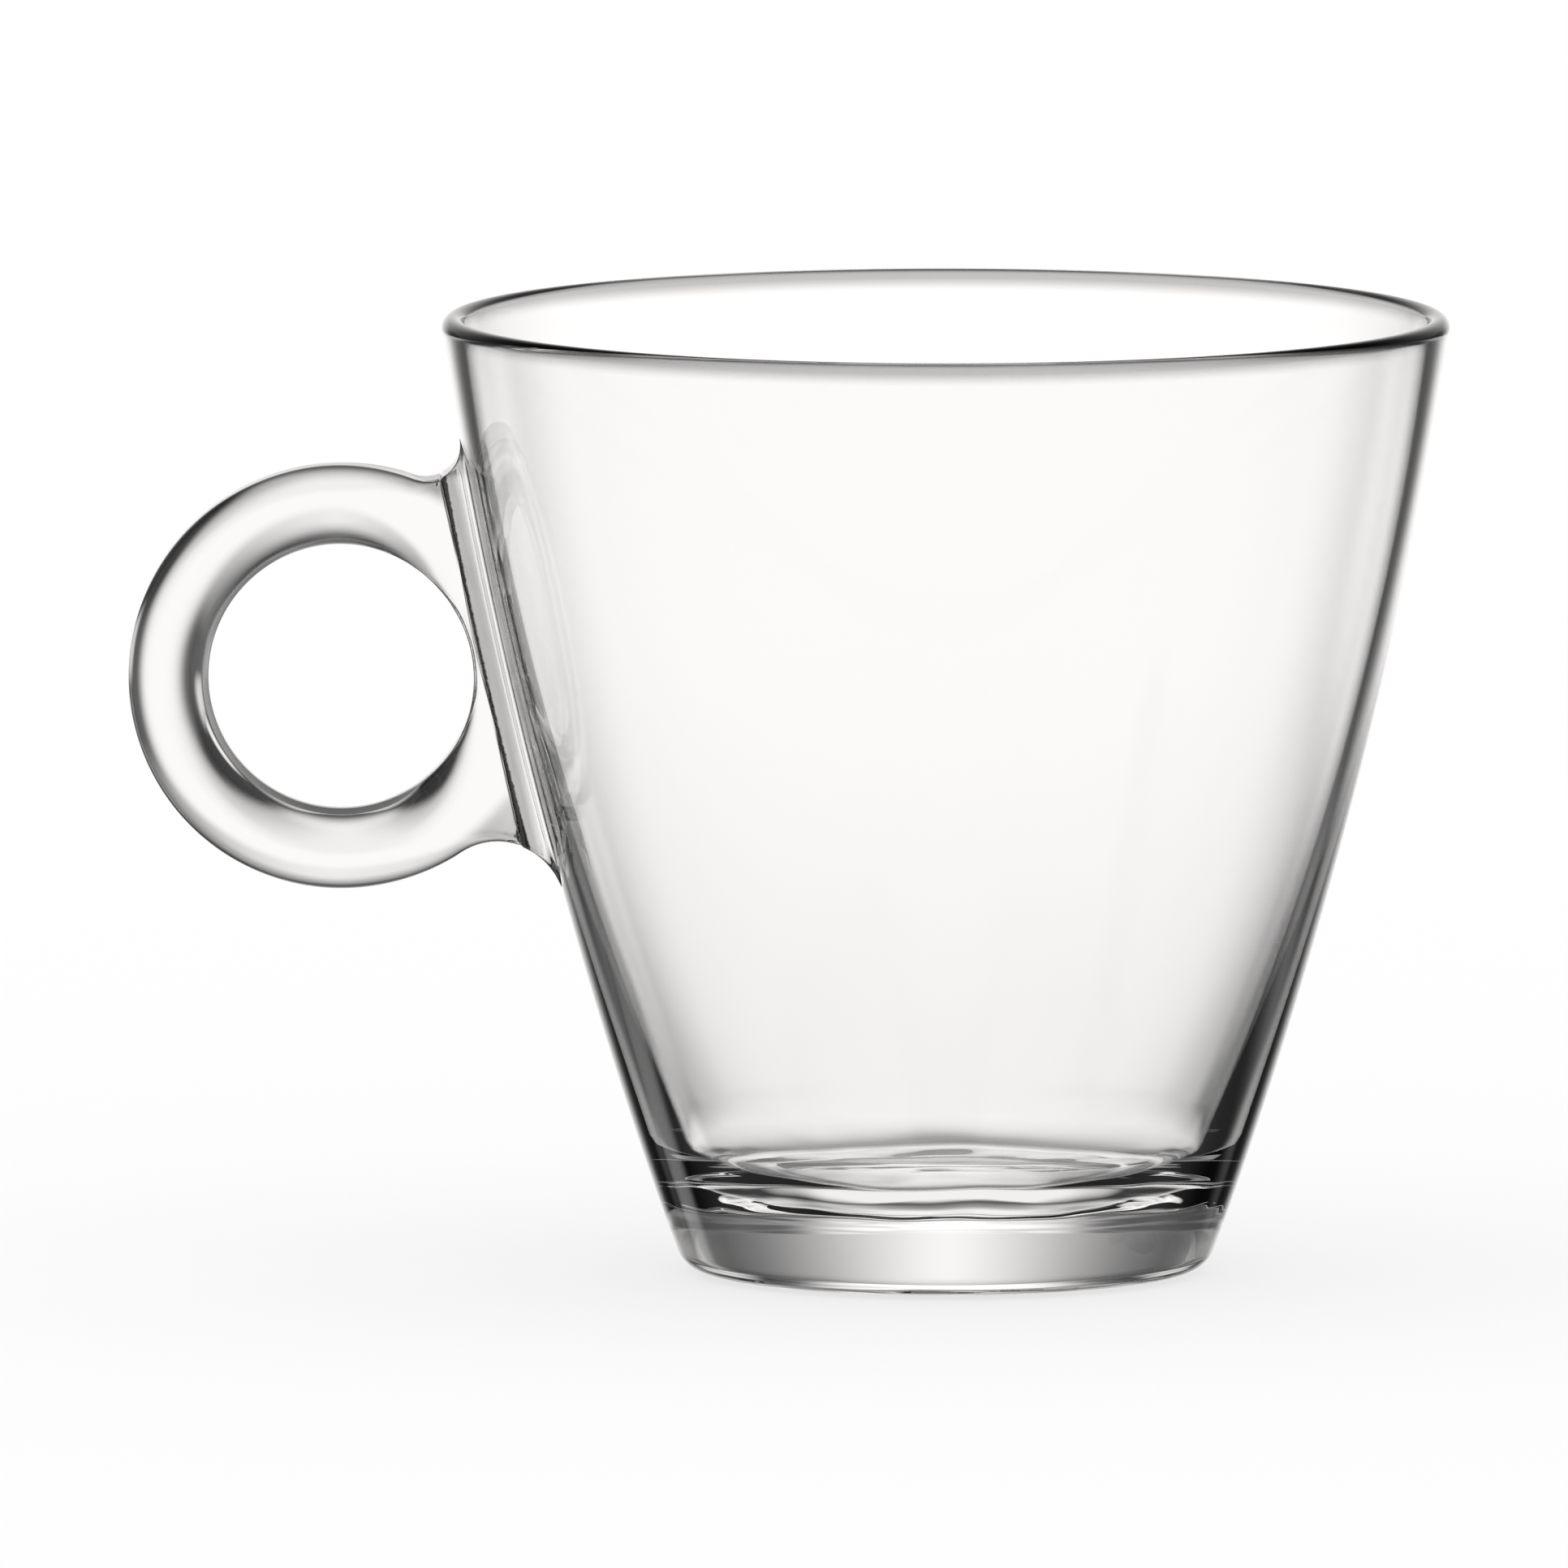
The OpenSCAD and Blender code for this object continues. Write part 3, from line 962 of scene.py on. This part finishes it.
narrowing = 1.0 + ramp(rise, *NARROWER_BELOW) * ramp(rise, *NARROWER_ABOVE)
low_shape = bell(from_panel * narrowing, *LOW_PANEL_SHAPE, ramp(rise, *BESIDE_LOW_PANEL))
dim_sides = ramp(rise, *DIM_SIDES) * ramp(from_panel, *DIM_SIDEWAYS)
dimmer = 1.0 - ramp(rise, *DIM_ABOVE) * (ramp(rise, *DIM_MIDDLE) + dim_sides)
low_panel = LOW_PANEL_LEVEL * dimmer * low_shape * ramp(rise, *LOW_PANEL_FADE)
high_shape = bell(from_panel, *HIGH_PANEL_SHAPE, BESIDE_HIGH_PANEL)
high_panel = high_shape * ramp(rise, *HIGH_PANEL_FADE)
height_share = ramp(rise, *LOW_TO_HIGH)
panels = low_panel * (1.0 - height_share) + high_panel * height_share

at_left = way_x.math("LESS_THAN", way_x, 0.0)
at_right = way_x.math("GREATER_THAN", way_x, 0.0)
at_back = way_x.math("GREATER_THAN", way_y, 0.0)
at_front = way_x.math("LESS_THAN", way_y, 0.0)
back_left = corner_panel(*BACK_LEFT) * at_left * at_back
front_right = corner_panel(*FRONT_RIGHT) * at_right * at_front
table = ramp(rise - ramp(from_panel, *TABLE_RISES), *TABLE_FADE)
surround = panels
for more in (corner_panel(*EVERY_CORNER), back_left, front_right, table):
    surround = way_x.math("MAXIMUM", surround, more)
print("panels: four sides, two heights, diagonals and a pale table")

# %% [markdown]
# ## What the glass mirrors
# The front of a real glass mirrors the room before it. The photograph shows no bright streaks there, so
# its room looked even. The panels would show as streaks, and dimming them would grey the glass when it is
# seen from behind. So a ray that the glass has mirrored meets one calm grey towards the front and the
# sides, while rays that only pass through still see the panels.

# %% Light for the camera, the glass and the rest
CALM_LEVEL = 0.4
CALM_ABOVE = (-48, -38, 0.0, 1.0)
CALM_IN_FRONT = (0.1, 0.6, 1.0, 0.0)
PLAIN_LIGHT = 1.0
LESS_GREEN = 0.015
LESS_BLUE = 0.022

light_path = tree.nodes.new("ShaderNodeLightPath")
is_camera = Signal(tree, light_path.outputs["Is Camera Ray"])
is_glossy = Signal(tree, light_path.outputs["Is Glossy Ray"])
is_through = Signal(tree, light_path.outputs["Is Transmission Ray"])
times_mirrored = Signal(tree, light_path.outputs["Glossy Depth"])
mirrored = way_x.math("MINIMUM", times_mirrored, 1.0)
calm_share = mirrored * way_y.soft_step(*CALM_IN_FRONT) * ramp(rise, *CALM_ABOVE)
calmed = surround + (CALM_LEVEL - surround) * calm_share
seen_in_glass = way_x.math("MAXIMUM", is_glossy, is_through)
level = seen_in_glass * calmed + (1.0 - seen_in_glass) * PLAIN_LIGHT
strength = way_x.math("MAXIMUM", level, is_camera)
green = 1.0 - LESS_GREEN * seen_in_glass
blue = 1.0 - LESS_BLUE * seen_in_glass
tint = way_x.node("ShaderNodeCombineColor", {}, 1.0, green, blue)
back = way_x.node("ShaderNodeBackground", {}, tint, strength)
out = tree.nodes.new("ShaderNodeOutputWorld")
tree.links.new(back.socket, out.inputs["Surface"])
print("world:", len(tree.nodes), "nodes")

# %% [markdown]
# ## The camera
# The rim is a flat ellipse and the two walls lean alike, so the photograph seems to be taken from far
# away with a long lens, a few degrees above the table. A camera close by would spread the rim. This one
# stands 3 m away, and its lens follows from the width that the picture shows at the glass.

# %% Camera
CAMERA_DISTANCE = 3.0
CAMERA_ELEVATION = math.radians(6.1)
FRAME_WIDTH = 0.0999
AIM = (-0.0103, 0.0, 0.031)
SENSOR_WIDTH = 36.0
NEAREST = 0.05
FURTHEST = 20.0

camera_data = bpy.data.cameras.new("camera")
camera_data.sensor_width = SENSOR_WIDTH
camera_data.lens = SENSOR_WIDTH * CAMERA_DISTANCE / FRAME_WIDTH
camera_data.clip_start = NEAREST
camera_data.clip_end = FURTHEST
camera = bpy.data.objects.new("camera", camera_data)
bpy.context.scene.collection.objects.link(camera)
back_off = CAMERA_DISTANCE * math.cos(CAMERA_ELEVATION)
lift = CAMERA_DISTANCE * math.sin(CAMERA_ELEVATION)
camera.location = (AIM[0], AIM[1] - back_off, AIM[2] + lift)
camera.rotation_euler = (QUARTER - CAMERA_ELEVATION, 0.0, 0.0)
bpy.context.scene.camera = camera
bpy.context.scene.view_settings.view_transform = "Standard"
print("camera:", round(camera_data.lens), "mm lens,", CAMERA_DISTANCE, "m away")

# %% [markdown]
# ## Joining the pieces to the model
# The real glass is one stiff body, so all three pieces ride on the root of the imported model. Each takes
# the place of the solid of the same piece.

# %% Join the pieces to the model and finish
for piece, node, slot in (
    (glass_bowl, "bowl", "clear_glass"),
    (glass_ring, "handle_ring", "clear_glass"),
    (glass_weld, "handle_weld", "weld_glass"),
):
    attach(piece, "root")
    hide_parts(node)
